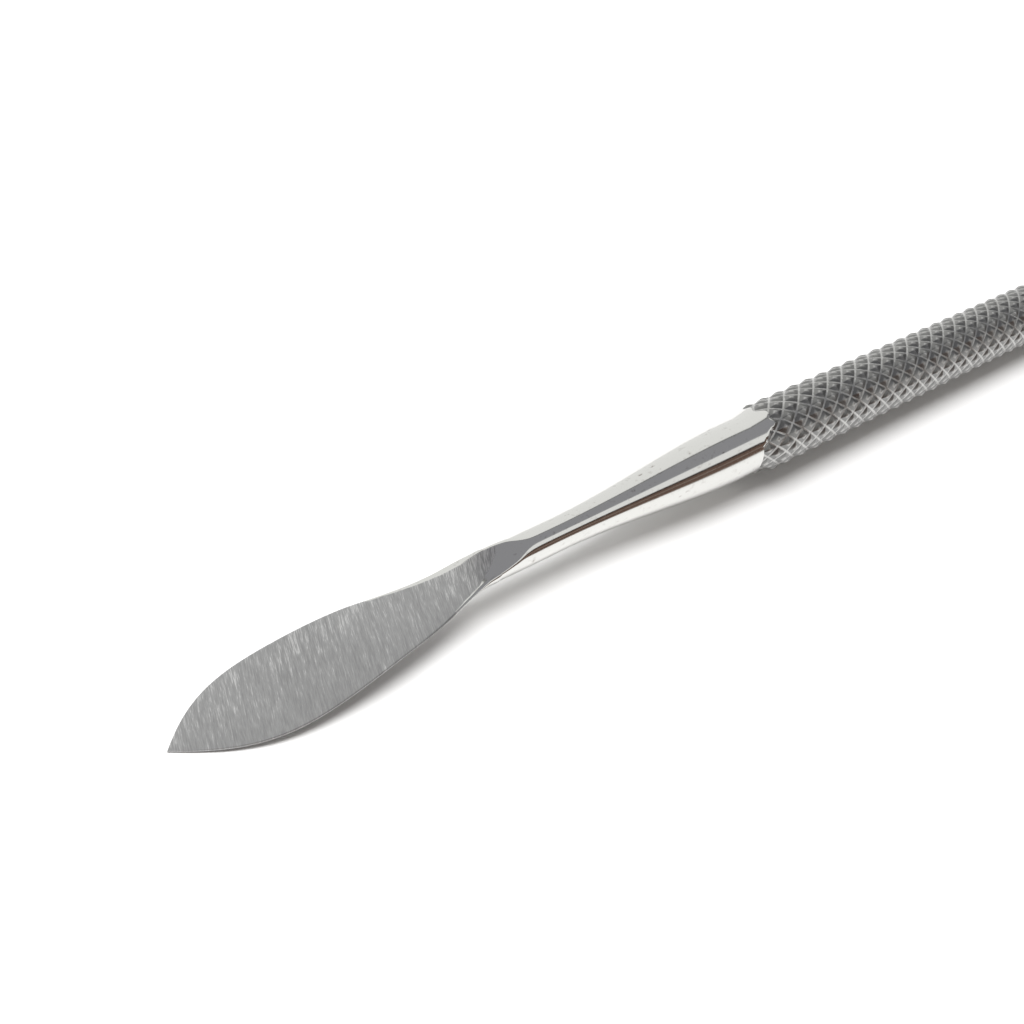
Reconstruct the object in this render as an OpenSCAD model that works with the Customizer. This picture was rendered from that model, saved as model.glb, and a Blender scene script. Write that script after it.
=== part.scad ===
// Double-ended metal spudger: a diamond-knurled round handle with a waisted
// steel shank pressed into each end. The front shank carries a broad drooping
// leaf blade, the rear shank a narrow pry tip.
// X runs along the handle, leaf blade at -X. Z is up when the tool lies on a bench.

/* [Handle] */
// Diameter over the knurl crests
handle_d = 5; // [4:0.1:8]
// Length of the straight, full-diameter part of the handle
handle_l = 64; // [40:1:100]
// Length of the cone at each end of the handle, down to the shank
nose_l = 3.5; // [1:0.1:6]

/* [Sockets and tangs] */
// Diameter of the tangs and of the handle sockets that grip them
tang_d = 2.6; // [2:0.1:3]
// Depth of each tang in the handle
tang_l = 10; // [5:0.5:18]
// Gap left at the bottom of each socket
socket_gap = 0.6; // [0.2:0.1:2]

/* [Shanks] */
// Diameter of a shank where it meets the handle's cone
root_d = 4.3; // [3.4:0.1:4.6]
// Diameter at the waist
waist_d = 2.2; // [1.6:0.1:3]
// Length of the taper from handle to waist
taper_l = 22.5; // [15:0.5:40]
// Length of the round waist before a blade starts
waist_l = 7.4; // [6:0.1:12]
// Length of waist over which it is already ground flat ahead of a blade
ground_l = 5; // [3:0.5:5]
// Downward set of the front shank, in degrees
front_set = 0.6; // [0:0.1:2]

/* [Leaf blade] */
// Length of the leaf from waist to tip
leaf_l = 24.7; // [18:0.1:35]
// Widest width of the leaf
leaf_w = 5.7; // [4:0.1:9]
// Distance from the start of the leaf to its widest place
leaf_belly = 15.7; // [10:0.1:18]
// Drop of the tip below the neck
leaf_droop = 2.45; // [1.5:0.05:3]
// Thickness at the tip
leaf_tip_t = 0.14; // [0.1:0.02:0.4]

/* [Pry tip] */
// Length of the flattened rear tip
pry_l = 19; // [12:0.5:26]
// Width of the rear tip near its end
pry_w = 2.8; // [2.4:0.1:3.4]
// Drop of the rear tip below the handle axis
pry_droop = 1; // [0:0.1:1.4]
// Thickness at the end of the rear tip
pry_tip_t = 0.4; // [0.2:0.05:0.8]

/* [Quality] */
// Facets round the handle and shanks
facets = 72; // [36:12:144]
// Steps along each blade outline curve
curve_steps = 14; // [8:2:24]

/* [Hidden] */
satin = [0.58, 0.59, 0.60];
polish = [0.80, 0.81, 0.83];
$fn = facets;
handle_r = handle_d / 2;
root_r = root_d / 2;
waist_r = waist_d / 2;
tang_r = tang_d / 2;
taper_steps = 2 * curve_steps;
waist_end = taper_l + waist_l;
// distance from the middle of the handle to the small end of each cone
nose_end = handle_l / 2 + nose_l;
// length of the bar that cuts a socket, 1 mm of it outside the handle
socket_l = tang_l + socket_gap + 1;
// bevel on the inner end of each tang
tang_bevel = 0.4;
// how far a shank's waist runs into its blade, so the two are one piece
overlap = 0.05;
// how far the round bar runs on inside a blade before it has been ground away
bar_run = 4;
// height and width of the blocks that trim the blades to their side profile
trim = 12;

// cubic Bezier curve through a and d, steered by b and c
function bez(a, b, c, d, t) =
    pow(1 - t, 3) * a + 3 * t * pow(1 - t, 2) * b + 3 * t * t * (1 - t) * c + pow(t, 3) * d;
// points along such a curve; first = 1 leaves out its start
function curve(a, b, c, d, first = 0) =
    [for (i = [first : curve_steps]) bez(a, b, c, d, i / curve_steps)];
function reversed(v) = [for (i = [len(v) - 1 : -1 : 0]) v[i]];
// an outline that ends on the centre line, closed by its own mirror image
function both_sides(v) = concat(v, [for (i = [len(v) - 2 : -1 : 0]) [v[i][0], -v[i][1]]]);

// outline of the upper half of the leaf seen from above, from waist to tip
leaf_tail = leaf_l - leaf_belly;
leaf_edge = concat(
    [[-ground_l * 0.8, waist_r * 0.27]],
    curve([0, waist_r * 0.98], [leaf_belly * 0.32, leaf_w * 0.33],
          [leaf_belly * 0.67, leaf_w / 2], [leaf_belly, leaf_w / 2]),
    curve([leaf_belly, leaf_w / 2], [leaf_belly + leaf_tail * 0.43, leaf_w / 2],
          [leaf_belly + leaf_tail * 0.68, leaf_w * 0.34], [leaf_l, 0], 1));

// side view of the leaf: the top is ground down from the round waist, then follows
// the droop; the underside keeps the line of the waist before it droops
leaf_top = concat(
    curve([-ground_l - 1, waist_r + 0.05], [-ground_l / 2, waist_r * 1.02],
          [ground_l * 0.08, waist_r * 0.18], [leaf_l * 0.142, -leaf_droop * 0.184]),
    curve([leaf_l * 0.142, -leaf_droop * 0.184], [leaf_l * 0.198, -leaf_droop * 0.294],
          [leaf_l * 0.275, -leaf_droop * 0.327], [leaf_l * 0.364, -leaf_droop * 0.355], 1),
    curve([leaf_l * 0.364, -leaf_droop * 0.355], [leaf_l * 0.526, -leaf_droop * 0.457],
          [leaf_l * 0.709, -leaf_droop * 0.939], [leaf_l, leaf_tip_t / 2 - leaf_droop], 1));
leaf_under = concat(
    curve([-ground_l - 1, -waist_r - 0.05], [-ground_l / 5, -waist_r * 1.02],
          [leaf_l * 0.101, -waist_r], [leaf_l * 0.243, -leaf_droop * 0.506]),
    curve([leaf_l * 0.243, -leaf_droop * 0.506], [leaf_l * 0.466, -leaf_droop * 0.596],
          [leaf_l * 0.688, -leaf_droop * 1.061], [leaf_l, -leaf_tip_t / 2 - leaf_droop], 1));

// outline of the upper half of the pry tip seen from above, with a round end
pry_edge = concat(
    [[-ground_l * 0.8, waist_r * 0.27]],
    curve([0, waist_r * 0.98], [pry_l * 0.3, waist_r],
          [pry_l * 0.5, pry_w / 2], [pry_l * 0.75, pry_w / 2]),
    curve([pry_l * 0.75, pry_w / 2], [pry_l * 0.92, pry_w / 2],
          [pry_l, pry_w * 0.42], [pry_l, 0], 1));

// side view of the pry tip, a longer and slimmer wedge
pry_top = concat(
    curve([-ground_l - 1, waist_r + 0.05], [-ground_l / 2, waist_r * 1.02],
          [pry_l * 0.1, waist_r * 0.75], [pry_l * 0.3, waist_r * 0.35]),
    curve([pry_l * 0.3, waist_r * 0.35], [pry_l * 0.45, waist_r * 0.1],
          [pry_l * 0.6, pry_tip_t / 2 - pry_droop * 0.6],
          [pry_l, pry_tip_t / 2 - pry_droop], 1));
pry_under = concat(
    curve([-ground_l - 1, -waist_r - 0.05], [-ground_l / 5, -waist_r * 1.02],
          [pry_l * 0.15, -waist_r * 0.95], [pry_l * 0.35, -waist_r * 0.75]),
    curve([pry_l * 0.35, -waist_r * 0.75], [pry_l * 0.5, -waist_r * 0.6],
          [pry_l * 0.6, -pry_tip_t / 2 - pry_droop],
          [pry_l, -pry_tip_t / 2 - pry_droop], 1));

// the straight tang that is pressed into the handle, run on a little into the shank
module tang() {
    rotate([0, 90, 0])
        rotate_extrude()
            polygon([[0, -tang_l],
                     [tang_r - tang_bevel, -tang_l],
                     [tang_r, -tang_l + tang_bevel],
                     [tang_r, taper_l / 4],
                     [0, taper_l / 4]]);
}

// the round taper and waist outside the handle, set down by a few tenths of a degree
module taper(set) {
    profile = concat(
        [[0, 0]],
        [for (i = [0 : taper_steps])
            [waist_r + (root_r - waist_r) * (1 + cos(180 * i / taper_steps)) / 2,
             taper_l * i / taper_steps]],
        [[waist_r, waist_end - ground_l + overlap],
         [0, waist_end - ground_l + overlap]]);
    rotate([0, 90 + set, 0])
        rotate_extrude()
            polygon(profile);
}

// block with the given top and bottom curves, used to grind a blade out of bar and sheet
module side_block(top, under) {
    translate([0, trim / 2, 0])
        rotate([90, 0, 0])
            linear_extrude(trim)
                polygon(concat(top, reversed(under)));
}

// plan outline made thick enough to be trimmed by a side block
module plan_block(edge) {
    translate([0, 0, -trim / 2])
        linear_extrude(trim)
            polygon(both_sides(edge));
}

// a blade and the ground end of its waist, cut out of round bar spread into sheet
module blade(edge, top, under) {
    intersection() {
        union() {
            plan_block(edge);
            translate([-ground_l, 0, 0])
                rotate([0, 90, 0])
                    cylinder(r = waist_r, h = ground_l + bar_run);
        }
        side_block(top, under);
    }
}

module knurled_handle() {
    color(satin)
        rotate([0, 90, 0])
            difference() {
                rotate_extrude()
                    polygon([[0, -nose_end],
                             [root_r, -nose_end],
                             [handle_r, -handle_l / 2],
                             [handle_r, handle_l / 2],
                             [root_r, nose_end],
                             [0, nose_end]]);
                for (side = [-1, 1])
                    translate([0, 0, side * (nose_end + 1 - socket_l / 2)])
                        cylinder(r = tang_r, h = socket_l, center = true);
            }
}

module leaf_shank() {
    color(polish)
        translate([-nose_end, 0, 0])
            mirror([1, 0, 0]) {
                tang();
                taper(front_set);
                rotate([0, front_set, 0])
                    translate([waist_end, 0, 0])
                        blade(leaf_edge, leaf_top, leaf_under);
            }
}

module pry_shank() {
    color(polish)
        translate([nose_end, 0, 0]) {
            tang();
            taper(0);
            translate([waist_end, 0, 0])
                blade(pry_edge, pry_top, pry_under);
        }
}

knurled_handle();
leaf_shank();
pry_shank();
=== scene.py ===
import math

import bmesh
import bpy
from mathutils import Matrix, Vector


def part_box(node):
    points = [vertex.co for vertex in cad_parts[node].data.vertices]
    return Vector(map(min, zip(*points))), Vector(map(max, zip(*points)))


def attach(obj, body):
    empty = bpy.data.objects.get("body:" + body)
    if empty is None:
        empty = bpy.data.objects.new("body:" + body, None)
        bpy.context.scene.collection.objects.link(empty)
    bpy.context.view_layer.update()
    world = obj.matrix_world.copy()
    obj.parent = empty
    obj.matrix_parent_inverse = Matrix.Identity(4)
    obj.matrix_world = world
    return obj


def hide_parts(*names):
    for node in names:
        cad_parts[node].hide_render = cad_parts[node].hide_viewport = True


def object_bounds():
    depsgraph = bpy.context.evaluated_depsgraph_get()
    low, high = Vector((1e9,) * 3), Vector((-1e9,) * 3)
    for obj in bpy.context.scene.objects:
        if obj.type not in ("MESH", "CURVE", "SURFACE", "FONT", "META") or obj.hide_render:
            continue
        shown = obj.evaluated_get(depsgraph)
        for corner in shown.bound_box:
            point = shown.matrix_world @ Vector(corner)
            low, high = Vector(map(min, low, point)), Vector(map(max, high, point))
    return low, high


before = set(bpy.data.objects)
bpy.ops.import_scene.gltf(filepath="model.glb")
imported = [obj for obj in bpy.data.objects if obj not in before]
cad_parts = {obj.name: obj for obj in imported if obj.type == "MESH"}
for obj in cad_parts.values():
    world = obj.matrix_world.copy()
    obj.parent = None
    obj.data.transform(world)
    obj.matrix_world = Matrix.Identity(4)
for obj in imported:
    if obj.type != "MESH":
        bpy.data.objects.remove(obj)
cad_lo, cad_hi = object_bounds()

MM = 0.001
scene = bpy.context.scene

# ---------------------------------------------------------------- sizes from the CAD, in mm
_, handle_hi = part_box("knurled_handle")
leaf_lo, leaf_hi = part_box("leaf_shank")
_, pry_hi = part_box("pry_shank")

# handle, with a cone (nose) at each end
handle_r = handle_hi.z / MM
nose_l = 3.5
nose_end = handle_hi.x / MM

# shanks: a round taper and waist, the waist ground flat over its last stretch
root_r = pry_hi.z / MM
waist_r = 1.1
taper_l = 22.5
waist_l = 7.4
waist_end = taper_l + waist_l
ground_l = 5.0
tang_r = 1.3
front_set = math.radians(0.6)

# leaf blade
leaf_w = (leaf_hi.y - leaf_lo.y) / MM
leaf_l = 24.7
leaf_belly = 15.7
leaf_droop = 2.45
leaf_tip_t = 0.14

# pry tip
pry_l = pry_hi.x / MM - nose_end - waist_end
pry_w = 2.8
pry_droop = 1.0
pry_tip_t = 0.4


# ---------------------------------------------------------------- small helpers
CURVE_STEPS = 60


def smooth(a, b, x):
    """0 before a, 1 after b, easing between them."""
    t = min(max((x - a) / (b - a), 0.0), 1.0)
    return t * t * (3 - 2 * t)


def bezier(points, n):
    """n + 1 points along the cubic Bezier curve with the four given control points."""
    a, b, c, d = (Vector(p) for p in points)
    out = []
    for i in range(n + 1):
        t = i / n
        out.append(a * (1 - t) ** 3 + b * 3 * t * (1 - t) ** 2 + c * 3 * t * t * (1 - t) + d * t ** 3)
    return out


class Curve:
    """A function y(x) read from joined Bezier curves."""

    def __init__(self, *pieces):
        self.pts = []
        for piece in pieces:
            self.pts += bezier(piece, CURVE_STEPS)[(1 if self.pts else 0):]

    def __call__(self, x):
        pts = self.pts
        if x <= pts[0].x:
            return pts[0].y
        if x >= pts[-1].x:
            return pts[-1].y
        lo, hi = 0, len(pts) - 1
        while hi - lo > 1:
            mid = (lo + hi) // 2
            if pts[mid].x <= x:
                lo = mid
            else:
                hi = mid
        a, b = pts[lo], pts[hi]
        return a.y + (b.y - a.y) * (x - a.x) / max(b.x - a.x, 1e-9)


def spaced(a, b, n):
    """The ends of n even steps from a to b."""
    return [a + (b - a) * i / n for i in range(1, n + 1)]


def mesh_object(name, verts, faces, material):
    me = bpy.data.meshes.new(name)
    me.from_pydata([tuple(v) for v in verts], [], faces)
    me.update()
    ob = bpy.data.objects.new(name, me)
    scene.collection.objects.link(ob)
    me.materials.append(material)
    for p in me.polygons:
        p.use_smooth = True
    return ob


def crease(ob, degrees):
    """Mark every edge that bends by more than the given angle as sharp."""
    bm = bmesh.new()
    bm.from_mesh(ob.data)
    for e in bm.edges:
        e.smooth = not (len(e.link_faces) == 2 and e.calc_face_angle(0) > math.radians(degrees))
    bm.to_mesh(ob.data)
    bm.free()


def loft(rings):
    """Vertices and faces of a closed skin over rings that all have the same number of points."""
    n = len(rings[0])
    verts = [v for ring in rings for v in ring]
    faces = []
    for i in range(len(rings) - 1):
        for j in range(n):
            k = (j + 1) % n
            faces.append((i * n + j, i * n + k, (i + 1) * n + k, (i + 1) * n + j))
    faces.append(tuple(reversed(range(n))))
    last = (len(rings) - 1) * n
    faces.append(tuple(last + j for j in range(n)))
    return verts, faces


# ---------------------------------------------------------------- materials
# lean of the grinding scratches across the blades, in degrees
SCRATCH_SLANT = 35


def new_material(name):
    m = bpy.data.materials.new(name)
    m.use_nodes = True
    nt = m.node_tree
    bsdf = nt.nodes["Principled BSDF"]
    return m, nt, bsdf


def noise(nt, stretch, detail, rough, rotation=(0, 0, 0)):
    """Noise value over the object's own coordinates, turned by rotation and then stretched."""
    coords = nt.nodes.new("ShaderNodeTexCoord")
    turned = nt.nodes.new("ShaderNodeMapping")
    turned.inputs["Rotation"].default_value = rotation
    nt.links.new(coords.outputs["Object"], turned.inputs["Vector"])
    stretched = nt.nodes.new("ShaderNodeMapping")
    stretched.inputs["Scale"].default_value = stretch
    nt.links.new(turned.outputs["Vector"], stretched.inputs["Vector"])
    n = nt.nodes.new("ShaderNodeTexNoise")
    n.inputs["Scale"].default_value = 1.0
    n.inputs["Detail"].default_value = detail
    n.inputs["Roughness"].default_value = rough
    nt.links.new(stretched.outputs["Vector"], n.inputs["Vector"])
    return n.outputs["Fac"]


def ramp(nt, fac, stops):
    """Colour read from stops of (position, colour), in order of position."""
    r = nt.nodes.new("ShaderNodeValToRGB")
    els = r.color_ramp.elements
    els[0].position, els[0].color = stops[0][0], (*stops[0][1], 1)
    els[1].position, els[1].color = stops[-1][0], (*stops[-1][1], 1)
    for pos, col in stops[1:-1]:
        e = els.new(pos)
        e.color = (*col, 1)
    nt.links.new(fac, r.inputs["Fac"])
    return r.outputs["Color"]


def map_range(nt, value, a, b, c, d):
    """c where value is a, d where it is b, and even between them."""
    n = nt.nodes.new("ShaderNodeMapRange")
    n.inputs["From Min"].default_value = a
    n.inputs["From Max"].default_value = b
    n.inputs["To Min"].default_value = c
    n.inputs["To Max"].default_value = d
    nt.links.new(value, n.inputs["Value"])
    return n.outputs["Result"]


def add_bump(nt, bsdf, height, strength, distance, normal=None):
    b = nt.nodes.new("ShaderNodeBump")
    b.inputs["Strength"].default_value = strength
    b.inputs["Distance"].default_value = distance
    nt.links.new(height, b.inputs["Height"])
    if normal is not None:
        nt.links.new(normal, b.inputs["Normal"])
    nt.links.new(b.outputs["Normal"], bsdf.inputs["Normal"])
    return b.outputs["Normal"]


def mix(nt, kind, fac, a, b):
    """a where fac is 0 and b where it is 1; each of the three is a socket or a plain value."""
    m = nt.nodes.new("ShaderNodeMix")
    m.data_type = kind
    # numbers of the node's factor, a, b and result sockets for each kind
    numbers = {"FLOAT": (0, 2, 3, 0), "RGBA": (0, 6, 7, 2)}[kind]
    sockets = [m.inputs[i] for i in numbers[:3]]
    for socket, value in zip(sockets, (fac, a, b)):
        if isinstance(value, bpy.types.NodeSocket):
            nt.links.new(value, socket)
        else:
            socket.default_value = value
    return m.outputs[numbers[3]]


def math_node(nt, operation, a, b=None, c=None):
    m = nt.nodes.new("ShaderNodeMath")
    m.operation = operation
    for socket, value in zip(m.inputs, (a, b, c)):
        if isinstance(value, bpy.types.NodeSocket):
            nt.links.new(value, socket)
        elif value is not None:
            socket.default_value = value
    return m.outputs["Value"]


def attribute(nt, name):
    n = nt.nodes.new("ShaderNodeAttribute")
    n.attribute_name = name
    return n.outputs["Fac"]


def shank_steel(name):
    """Polished steel with faint turning rings; where the attribute "ground" is above zero
    it is ground with slanting scratches instead."""
    m, nt, bsdf = new_material(name)
    bsdf.inputs["Metallic"].default_value = 1.0
    # polished part
    rings = noise(nt, (7000, 300, 300), 3.0, 0.6)
    long = noise(nt, (70, 4200, 4200), 3.0, 0.6)
    # ground part
    slant = (0, 0, math.radians(SCRATCH_SLANT))
    fine = noise(nt, (15000, 1100, 1100), 3.0, 0.7, slant)
    broad = noise(nt, (4200, 400, 400), 3.0, 0.6, slant)
    cloud = noise(nt, (260, 160, 160), 2.0, 0.5)
    ragged = noise(nt, (900, 3600, 900), 3.0, 0.6)
    edge = math_node(nt, "MULTIPLY_ADD", ragged, 0.50, attribute(nt, "ground"))
    mask = map_range(nt, edge, 0.20, 0.30, 0.0, 1.0)
    scratches = mix(nt, "FLOAT", 0.35, fine, broad)
    # painted highlight: the scratch colour is shifted lighter toward the shank's -Y side (the leaf's far
    # edge) and where the brushed face begins, so more of them look lit
    streaks_and_highlight = math_node(nt, "MULTIPLY_ADD", attribute(nt, "painted_highlight"), 0.05, scratches)
    ground_colour = ramp(nt, streaks_and_highlight, [(0.36, (0.30, 0.30, 0.303)), (0.48, (0.36, 0.36, 0.363)),
                                       (0.56, (0.41, 0.41, 0.413)), (0.66, (0.66, 0.66, 0.66))])
    pits = noise(nt, (1500, 3200, 3200), 2.0, 0.5)
    polish_colour = ramp(nt, pits, [(0.60, (0.71, 0.71, 0.69)), (0.74, (0.60, 0.59, 0.57)),
                                                   (0.78, (0.36, 0.34, 0.32))])
    nt.links.new(mix(nt, "RGBA", mask, polish_colour, ground_colour), bsdf.inputs["Base Color"])
    ground_rough = map_range(nt, cloud, 0.3, 0.7, 0.30, 0.40)
    polish_rough = map_range(nt, rings, 0.35, 0.75, 0.06, 0.14)
    nt.links.new(mix(nt, "FLOAT", mask, polish_rough, ground_rough), bsdf.inputs["Roughness"])
    turned = add_bump(nt, bsdf, rings, 0.10, 0.00001)
    drawn = add_bump(nt, bsdf, long, 0.05, 0.00001, turned)
    lines = mix(nt, "FLOAT", mask, 0.5, streaks_and_highlight)
    add_bump(nt, bsdf, lines, 0.5, 0.00003, drawn)
    return m


def knurled_steel(name):
    """Knurled steel: diamond sides darkened as painted shade between grooves lightened as painted
    reflection, and paler tops; polished where the nose has been ground."""
    m, nt, bsdf = new_material(name)
    bsdf.inputs["Metallic"].default_value = 1.0
    worn = noise(nt, (2600, 2600, 2600), 4.0, 0.65)
    patch = noise(nt, (420, 420, 420), 3.0, 0.6)
    level = math_node(nt, "MULTIPLY_ADD", worn, 0.30, attribute(nt, "crest"))
    # painted light: colour by crest height, with bright grooves as painted reflection, dark diamond
    # sides as painted shade and paler tops
    knurl_painted_light = ramp(nt, level, [(0.14, (0.55, 0.55, 0.54)), (0.19, (0.44, 0.44, 0.43)),
                             (0.27, (0.20, 0.20, 0.197)), (0.80, (0.23, 0.23, 0.226)),
                             (1.12, (0.44, 0.44, 0.43))])
    ground = math_node(nt, "MULTIPLY_ADD", worn, 0.5, attribute(nt, "nose"))
    mask = map_range(nt, ground, 0.75, 0.95, 0.0, 1.0)
    nt.links.new(mix(nt, "RGBA", mask, knurl_painted_light, (0.71, 0.71, 0.69, 1)), bsdf.inputs["Base Color"])
    rough = map_range(nt, patch, 0.3, 0.7, 0.26, 0.38)
    nt.links.new(mix(nt, "FLOAT", mask, rough, 0.10), bsdf.inputs["Roughness"])
    depth = mix(nt, "FLOAT", mask, worn, 0.5)
    add_bump(nt, bsdf, depth, 0.45, 0.00004)
    return m


shank_mat = shank_steel("shank_steel")
knurl_mat = knurled_steel("handle_knurl")


# ---------------------------------------------------------------- knurled handle
def knurl_handle():
    """Round handle with two crossing families of grooves cut into it as real geometry.
    The ground nose at each end cuts slantwise into the knurl."""
    starts = 12
    helix = math.radians(30.4)
    pitch = 2 * math.pi * handle_r / starts / math.tan(helix)
    # steps of the mesh to each diamond
    per = 16
    around = starts * per
    steps = int(round(2 * nose_end / pitch * per))
    dx = 2 * nose_end / steps
    depth = 0.14
    # flat bottom of a groove and flat top of a diamond, as parts of the way from one to the other
    groove = 0.09
    top = 0.12
    phase = math.radians(39)

    def height(th, x):
        """0 in a groove, 1 on a crest."""
        turn = starts * (th - phase) / (2 * math.pi)
        u, v = turn + x / pitch, turn - x / pitch
        du, dv = abs(u - round(u)) * 2, abs(v - round(v)) * 2
        return min(max((min(du, dv) - groove) / (1 - groove - top), 0.0), 1.0)

    def fade(th, end, front):
        """How fully the knurl is rolled in: none on the ground nose, its edge slanting and ragged."""
        angle = math.degrees(th) % 360
        # 1 where the knurl runs furthest over the nose, 0 where it stops short of it
        if front:
            side = smooth(20, 68, angle) * (1 - smooth(120, 230, angle))
        else:
            side = 0.5 - 0.5 * math.cos(math.radians(angle - 250))
        ragged = 0.2 * math.sin(7 * th + 1.0) + 0.2 * math.sin(13 * th + 2.0)
        start = nose_l - 1.0 - 2.9 * side + ragged
        return smooth(start - 0.3, start + 0.5, end)

    verts, faces, crest, ground = [], [], [], []
    for i in range(steps + 1):
        x = -nose_end + i * dx
        front = x < 0
        end = nose_end - abs(x)
        for j in range(around):
            th = 2 * math.pi * j / around
            h = height(th, x + nose_end)
            full = fade(th, end, front)
            t = min(end / nose_l, 1.0)
            r = root_r + (handle_r - root_r) * (0.25 * t + 0.75 * t * t) - depth * (1 - h) * full
            verts.append((x * MM, -r * math.sin(th) * MM, r * math.cos(th) * MM))
            crest.append(h)
            ground.append(1 - full)
    for i in range(steps):
        for j in range(around):
            k = (j + 1) % around
            a, b = i * around + j, i * around + k
            c, d = (i + 1) * around + k, (i + 1) * around + j
            if abs(crest[a] - crest[c]) < abs(crest[b] - crest[d]):
                faces += [(a, b, c), (a, c, d)]
            else:
                faces += [(a, b, d), (b, c, d)]
    for side, base in ((-1, 0), (1, steps * around)):
        # end face: a ring round a disc as wide as the tang, both hidden by the shank
        inner = []
        for j in range(around):
            th = 2 * math.pi * j / around
            inner.append(len(verts))
            verts.append((side * nose_end * MM, -tang_r * math.sin(th) * MM, tang_r * math.cos(th) * MM))
            crest.append(0.8)
            ground.append(1.0)
        for j in range(around):
            k = (j + 1) % around
            f = (base + j, inner[j], inner[k], base + k)
            faces.append(f if side < 0 else tuple(reversed(f)))
        faces.append(tuple(inner) if side < 0 else tuple(reversed(inner)))
    ob = mesh_object("handle_knurled", verts, faces, knurl_mat)
    for name, values in (("crest", crest), ("nose", ground)):
        ob.data.attributes.new(name, "FLOAT", "POINT").data.foreach_set("value", values)
    # knurl facets are flat, the ground noses are smooth up to their end faces
    for p in ob.data.polygons:
        p.use_smooth = min(ground[v] for v in p.vertices) > 0.5 and abs(p.normal.x) < 0.9
    crease(ob, 60)
    return ob


handle = knurl_handle()
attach(handle, "root")
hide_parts("knurled_handle")


# ---------------------------------------------------------------- shanks
def shank_radius(x):
    """Radius of the round taper at a distance from the handle."""
    if x > taper_l:
        return waist_r
    x = max(x, 0.0)
    return waist_r + (root_r - waist_r) * (1 + math.cos(math.pi * x / taper_l)) / 2


def soft_min(a, b, k):
    """The smaller of a and b, rounded over a distance k where they cross."""
    h = max(k - abs(a - b), 0.0) / k
    return min(a, b) - h * h * k / 4


def soft_max(a, b, k):
    return -soft_min(-a, -b, k)


def section(n, w, top, under, flats, level, lens):
    """Closed outline of n points. Above, a flat reaches out to the two half widths in flats (+Y and
    -Y side) and is joined by quarter ellipses to half width w at the given level. Below lies the
    other half of the ellipse, turning into a shallow lens as lens goes to 1."""
    ring = []
    for j in range(n):
        angle = 360.0 * j / n
        upper = angle < 180
        quarter = angle % 180
        right = quarter < 90
        t = quarter if right else 180 - quarter
        side = 1 if right == upper else -1
        if upper:
            flat = flats[0 if side > 0 else 1]
            spread = 72.0 * flat / w
            if t > 90 - spread:
                y, z = flat * (90 - t) / spread, top
            else:
                q = math.radians(t / (90 - spread) * 90)
                y, z = flat + (w - flat) * math.cos(q), level + (top - level) * math.sin(q)
        else:
            q = math.radians(t)
            y = w * math.cos(q)
            z = level + (under - level) * ((1 - lens) * math.sin(q) + lens * (1 - (y / w) ** 2.2))
        ring.append((side * y, z, upper))
    return ring


def shank(name, length, half_width, top, under, shoulders, brush, edge_t, twist, place):
    """One shank: round taper and waist, running smoothly into a blade. The shoulders are the
    rounded margins beside the ground flat on the +Y and -Y side; the flat begins turned by twist
    degrees toward +Y. The brushed face begins on an arc: brush holds where it crosses the middle,
    how far it leans and how far it bulges."""
    brush_from, lean, bulge = brush
    points_round = 144
    # how softly the round bar turns into the ground faces
    soften = 0.06
    # the first ring lies just inside the handle's nose, so no gap opens where they meet
    xs = [-0.3] + spaced(0.0, taper_l, 44)
    ground_from = waist_end - ground_l - 1.0
    xs += spaced(taper_l, ground_from, 3)
    blade_from = ground_from + ground_l + 5.0
    xs += spaced(ground_from, blade_from, 80)
    # closer together toward the tip
    blade_end = waist_end + length
    xs += [blade_from + (blade_end - blade_from) * math.sin(a) for a in spaced(0.0, math.pi / 2, 100)]
    rings, ground, painted_highlight = [], [], []
    for x in xs:
        s = x - waist_end
        w = hi = shank_radius(x)
        lo, mid, lens, sides = -w, 0.0, 0.0, (0.0, 0.0)
        if s > -ground_l - 1:
            r = w
            hi = soft_min(r, top(s), soften)
            past = smooth(0.0, 3.0, s)
            lo = soft_max(-r, under(s), soften) * (1 - past) + under(s) * past
            if s > -1:
                w = soft_max(r, half_width(s), 0.25) if s < 4 else half_width(s)
            chord = math.sqrt(max(r * r - hi * hi, 0.0)) * smooth(-ground_l, -ground_l + 2.5, s)
            blend = smooth(-2.0, 2.5, s)
            sides = tuple(chord * 0.94 * (1 - blend) + max(w - m(s), w * 0.5) * blend for m in shoulders)
            mid = (hi - edge_t) * smooth(-3.5, 3.0, s)
            lens = smooth(-1.0, 7.0, s)
        ring = []
        turn = math.radians(twist) * (1 - smooth(-1.5, 2.5, s))
        ct, st = math.cos(turn), math.sin(turn)
        for y, z, upper in section(points_round, w, hi, lo, sides, mid, lens):
            across = -y / w
            # painted highlight: lighter toward the -Y side and where the brushed face begins
            painted_highlight.append(across + 1.6 * (1 - smooth(-1.0, 5.0, s)))
            if upper:
                reach = sides[0 if y > 0 else 1]
                # a margin this narrow is brushed along with the face
                narrow = 0.45 if s > 2 and w - reach < 0.15 else 0.0
                from_start = s - brush_from - lean * across - bulge * across * across
                from_side = (reach - abs(y)) / 0.3 + narrow
            else:
                from_start = s - brush_from - 2.5
                from_side = (w * 0.97 - abs(y)) / 0.3
            ground.append(min(from_start, from_side))
            ring.append((x * MM, (y * ct + z * st) * MM, (z * ct - y * st) * MM))
        rings.append(ring)
    verts, faces = loft(rings)
    ob = mesh_object(name, verts, faces, shank_mat)
    for key, values in (("ground", ground), ("painted_highlight", painted_highlight)):
        ob.data.attributes.new(key, "FLOAT", "POINT").data.foreach_set("value", values)
    ob.data.transform(place)
    crease(ob, 50)
    return ob


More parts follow.
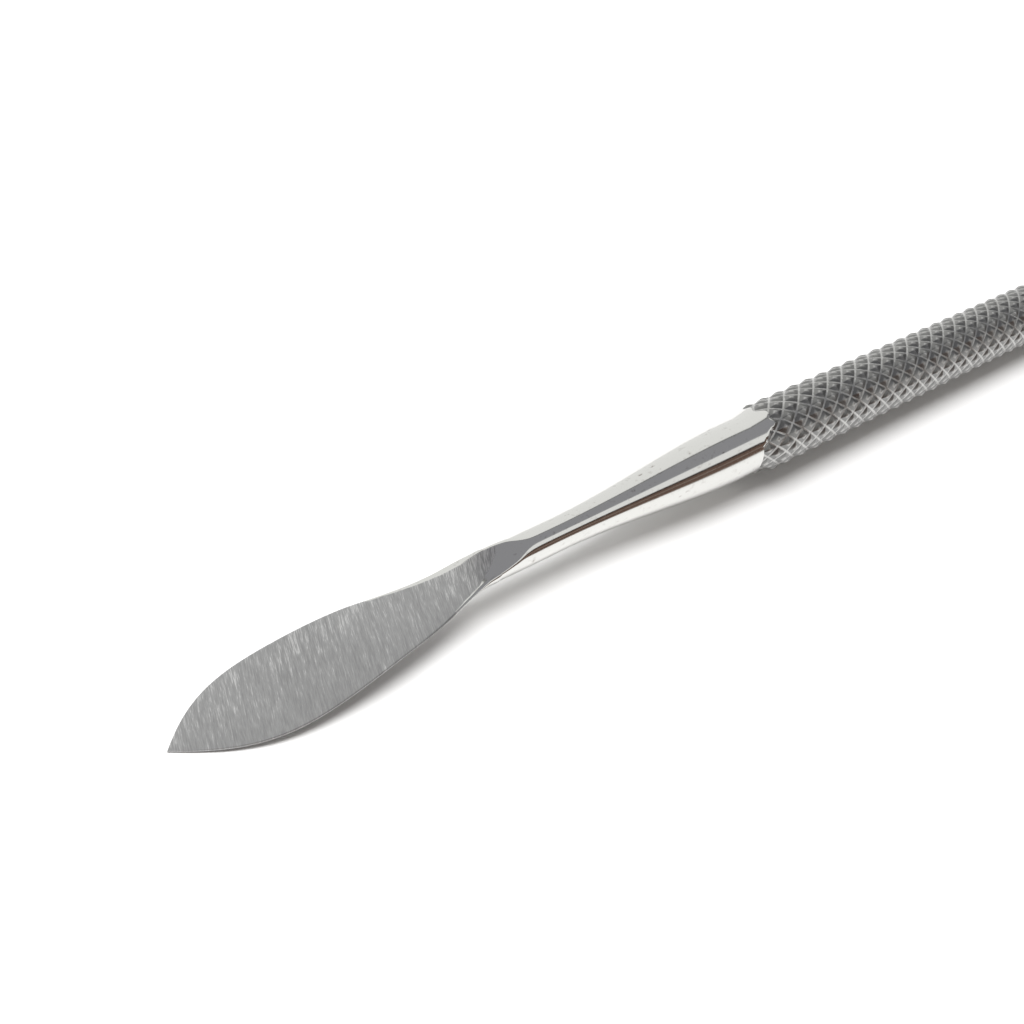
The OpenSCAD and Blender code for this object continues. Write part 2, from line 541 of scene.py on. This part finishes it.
def leaf_shank():
    tail = leaf_l - leaf_belly
    half_width = Curve([(0, waist_r * 0.98), (leaf_belly * 0.32, leaf_w * 0.33),
                        (leaf_belly * 0.67, leaf_w / 2), (leaf_belly, leaf_w / 2)],
                       [(leaf_belly, leaf_w / 2), (leaf_belly + tail * 0.43, leaf_w / 2),
                        (leaf_belly + tail * 0.68, leaf_w * 0.34), (leaf_l, 0.02)])
    top = Curve([(-ground_l - 1, waist_r + 0.05), (-ground_l / 2, waist_r * 1.02),
                 (ground_l * 0.08, waist_r * 0.18), (leaf_l * 0.142, -leaf_droop * 0.184)],
                [(leaf_l * 0.142, -leaf_droop * 0.184), (leaf_l * 0.198, -leaf_droop * 0.294),
                 (leaf_l * 0.275, -leaf_droop * 0.327), (leaf_l * 0.364, -leaf_droop * 0.355)],
                [(leaf_l * 0.364, -leaf_droop * 0.355), (leaf_l * 0.526, -leaf_droop * 0.457),
                 (leaf_l * 0.709, -leaf_droop * 0.939), (leaf_l, leaf_tip_t / 2 - leaf_droop)])
    under = Curve([(-ground_l - 1, -waist_r - 0.05), (-ground_l / 5, -waist_r * 1.02),
                   (leaf_l * 0.101, -waist_r), (leaf_l * 0.243, -leaf_droop * 0.506)],
                  [(leaf_l * 0.243, -leaf_droop * 0.506), (leaf_l * 0.466, -leaf_droop * 0.596),
                   (leaf_l * 0.688, -leaf_droop * 1.061), (leaf_l, -leaf_tip_t / 2 - leaf_droop)])
    far = Curve([(-ground_l, 0.95), (0, 0.55), (2.5, 0.26), (9, 0.12)],
                [(9, 0.12), (14, 0.08), (20, 0.06), (leaf_l, 0.01)])
    near = Curve([(-ground_l, 0.6), (0, 0.3), (3, 0.10), (9, 0.06)],
                 [(9, 0.06), (14, 0.06), (20, 0.05), (leaf_l, 0.01)])
    # set down a little, then turned to point along -X from the handle's front end
    place = (Matrix.Translation((-nose_end * MM, 0, 0)) @ Matrix.Rotation(math.pi, 4, "Z")
             @ Matrix.Rotation(front_set, 4, "Y"))
    brush = (-0.9, -1.8, 0.8)
    edge_t = 0.09
    twist = 20
    # the shank is built pointing along +X, so its -Y side becomes the far side
    return shank("shank_leaf", leaf_l, half_width, top, under, (near, far), brush, edge_t, twist, place)


def pry_shank():
    half_width = Curve([(0, waist_r * 0.98), (pry_l * 0.3, waist_r), (pry_l * 0.5, pry_w / 2),
                        (pry_l * 0.75, pry_w / 2)],
                       [(pry_l * 0.75, pry_w / 2), (pry_l * 0.92, pry_w / 2),
                        (pry_l, pry_w * 0.42), (pry_l, 0.03)])
    top = Curve([(-ground_l - 1, waist_r + 0.05), (-ground_l / 2, waist_r * 1.02),
                 (pry_l * 0.1, waist_r * 0.75), (pry_l * 0.3, waist_r * 0.35)],
                [(pry_l * 0.3, waist_r * 0.35), (pry_l * 0.45, waist_r * 0.1),
                 (pry_l * 0.6, pry_tip_t / 2 - pry_droop * 0.6), (pry_l, pry_tip_t / 2 - pry_droop)])
    under = Curve([(-ground_l - 1, -waist_r - 0.05), (-ground_l / 5, -waist_r * 1.02),
                   (pry_l * 0.15, -waist_r * 0.95), (pry_l * 0.35, -waist_r * 0.75)],
                  [(pry_l * 0.35, -waist_r * 0.75), (pry_l * 0.5, -waist_r * 0.6),
                   (pry_l * 0.6, -pry_tip_t / 2 - pry_droop), (pry_l, -pry_tip_t / 2 - pry_droop)])
    margin = Curve([(-ground_l, 0.6), (2, 0.5), (6, 0.3), (12, 0.2)],
                   [(12, 0.2), (15, 0.2), (17, 0.15), (pry_l, 0.01)])
    place = Matrix.Translation((nose_end * MM, 0, 0))
    brush = (1.5, 0.0, 0.45)
    edge_t = 0.15
    return shank("shank_pry", pry_l, half_width, top, under, (margin, margin), brush, edge_t, 0, place)


leaf = leaf_shank()
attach(leaf, "root")
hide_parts("leaf_shank")

pry = pry_shank()
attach(pry, "root")
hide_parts("pry_shank")


# ---------------------------------------------------------------- floor
def floor():
    half = 3.0
    corners = [(-half, -half, 0), (half, -half, 0), (half, half, 0), (-half, half, 0)]
    me = bpy.data.meshes.new("floor")
    me.from_pydata(corners, [], [(0, 1, 2, 3)])
    ob = bpy.data.objects.new("floor", me)
    ob.location.z = cad_lo.z
    scene.collection.objects.link(ob)
    m, _, bsdf = new_material("floor_white")
    bsdf.inputs["Base Color"].default_value = (0.70, 0.70, 0.70, 1)
    bsdf.inputs["Roughness"].default_value = 0.9
    bsdf.inputs["Specular IOR Level"].default_value = 0.1
    me.materials.append(m)
    return ob


floor()


# ---------------------------------------------------------------- light
def surroundings():
    """Studio mirrored by the polished steel, in bands that run parallel to the tool: white on the
    far side, a grey screen overhead, a bright strip, then dark brown and dim on the near side."""
    world = bpy.data.worlds.new("studio")
    scene.world = world
    world.use_nodes = True
    nt = world.node_tree
    bg = nt.nodes["Background"]
    tc = nt.nodes.new("ShaderNodeTexCoord")
    xyz = nt.nodes.new("ShaderNodeSeparateXYZ")
    nt.links.new(tc.outputs["Generated"], xyz.inputs["Vector"])
    toward = math_node(nt, "MULTIPLY", xyz.outputs["Y"], -1.0)
    around = math_node(nt, "ARCTAN2", toward, xyz.outputs["Z"])
    fac = map_range(nt, around, -math.pi, math.pi, 0.0, 1.0)
    white, grey, strip = (0.95, 0.95, 0.935), (0.32, 0.32, 0.338), (0.93, 0.93, 0.92)
    black, brown, line = (0.060, 0.043, 0.038), (0.155, 0.10, 0.078), (0.18, 0.18, 0.175)
    streak, dim = (0.36, 0.29, 0.25), (0.50, 0.465, 0.43)

    def bands(*stops):
        """Colours at angles in degrees: 0 overhead, 90 level on the near side."""
        return ramp(nt, fac, [((angle + 180) / 360, colour) for angle, colour in stops])

    ahead = bands((-180, white), (-13, white), (-11, line), (-9, line), (-7, grey), (33, grey),
                  (36, strip), (56, strip), (58, black), (63, black), (65, brown), (72, brown),
                  (73, streak), (74, streak), (75, black), (77, brown), (86, brown), (89, dim),
                  (120, dim), (180, brown))
    # toward -X, behind the camera, the near side is dim and has no bands
    back = bands((-180, white), (-12, white), (8, dim), (120, dim), (180, brown))
    behind = map_range(nt, xyz.outputs["X"], 0.30, 0.05, 0.0, 1.0)
    nt.links.new(mix(nt, "RGBA", behind, ahead, back), bg.inputs["Color"])
    # the far end of the room, toward +X, is darker
    nt.links.new(map_range(nt, xyz.outputs["X"], 0.86, 0.94, 1.0, 0.35), bg.inputs["Strength"])


surroundings()


def key_light():
    """Round lamp high above the leaf's end of the tool. The steel doesn't mirror it, because it
    would burn the leaf out to white in views from above."""
    place, aim = Vector((-0.17, 0.06, 0.60)), Vector((-0.03, 0, 0))
    li = bpy.data.lights.new("key", "AREA")
    li.shape = "DISK"
    li.size = 0.46
    li.energy = 5.2
    ob = bpy.data.objects.new("key", li)
    ob.location = place
    ob.rotation_euler = (aim - place).to_track_quat("-Z", "Y").to_euler()
    ob.visible_glossy = False
    scene.collection.objects.link(ob)


key_light()

# ---------------------------------------------------------------- camera
cam_place = (-0.15379, -0.04712, 0.06395)
cam_data = bpy.data.cameras.new("camera")
cam_data.lens = 70.3
cam_data.sensor_width = 36.0
cam_data.clip_start = 0.01
cam_data.clip_end = 20.0
cam = bpy.data.objects.new("camera", cam_data)
scene.collection.objects.link(cam)
heading, down, tilt = math.radians(27.684), math.radians(30.745), math.radians(20.530)
turn = (Matrix.Rotation(heading - math.pi / 2, 4, "Z") @ Matrix.Rotation(math.pi / 2 - down, 4, "X")
        @ Matrix.Rotation(tilt, 4, "Z"))
cam.matrix_world = Matrix.Translation(cam_place) @ turn
scene.camera = cam

scene.view_settings.view_transform = "Standard"
scene.view_settings.look = "None"
scene.view_settings.exposure = 0.0
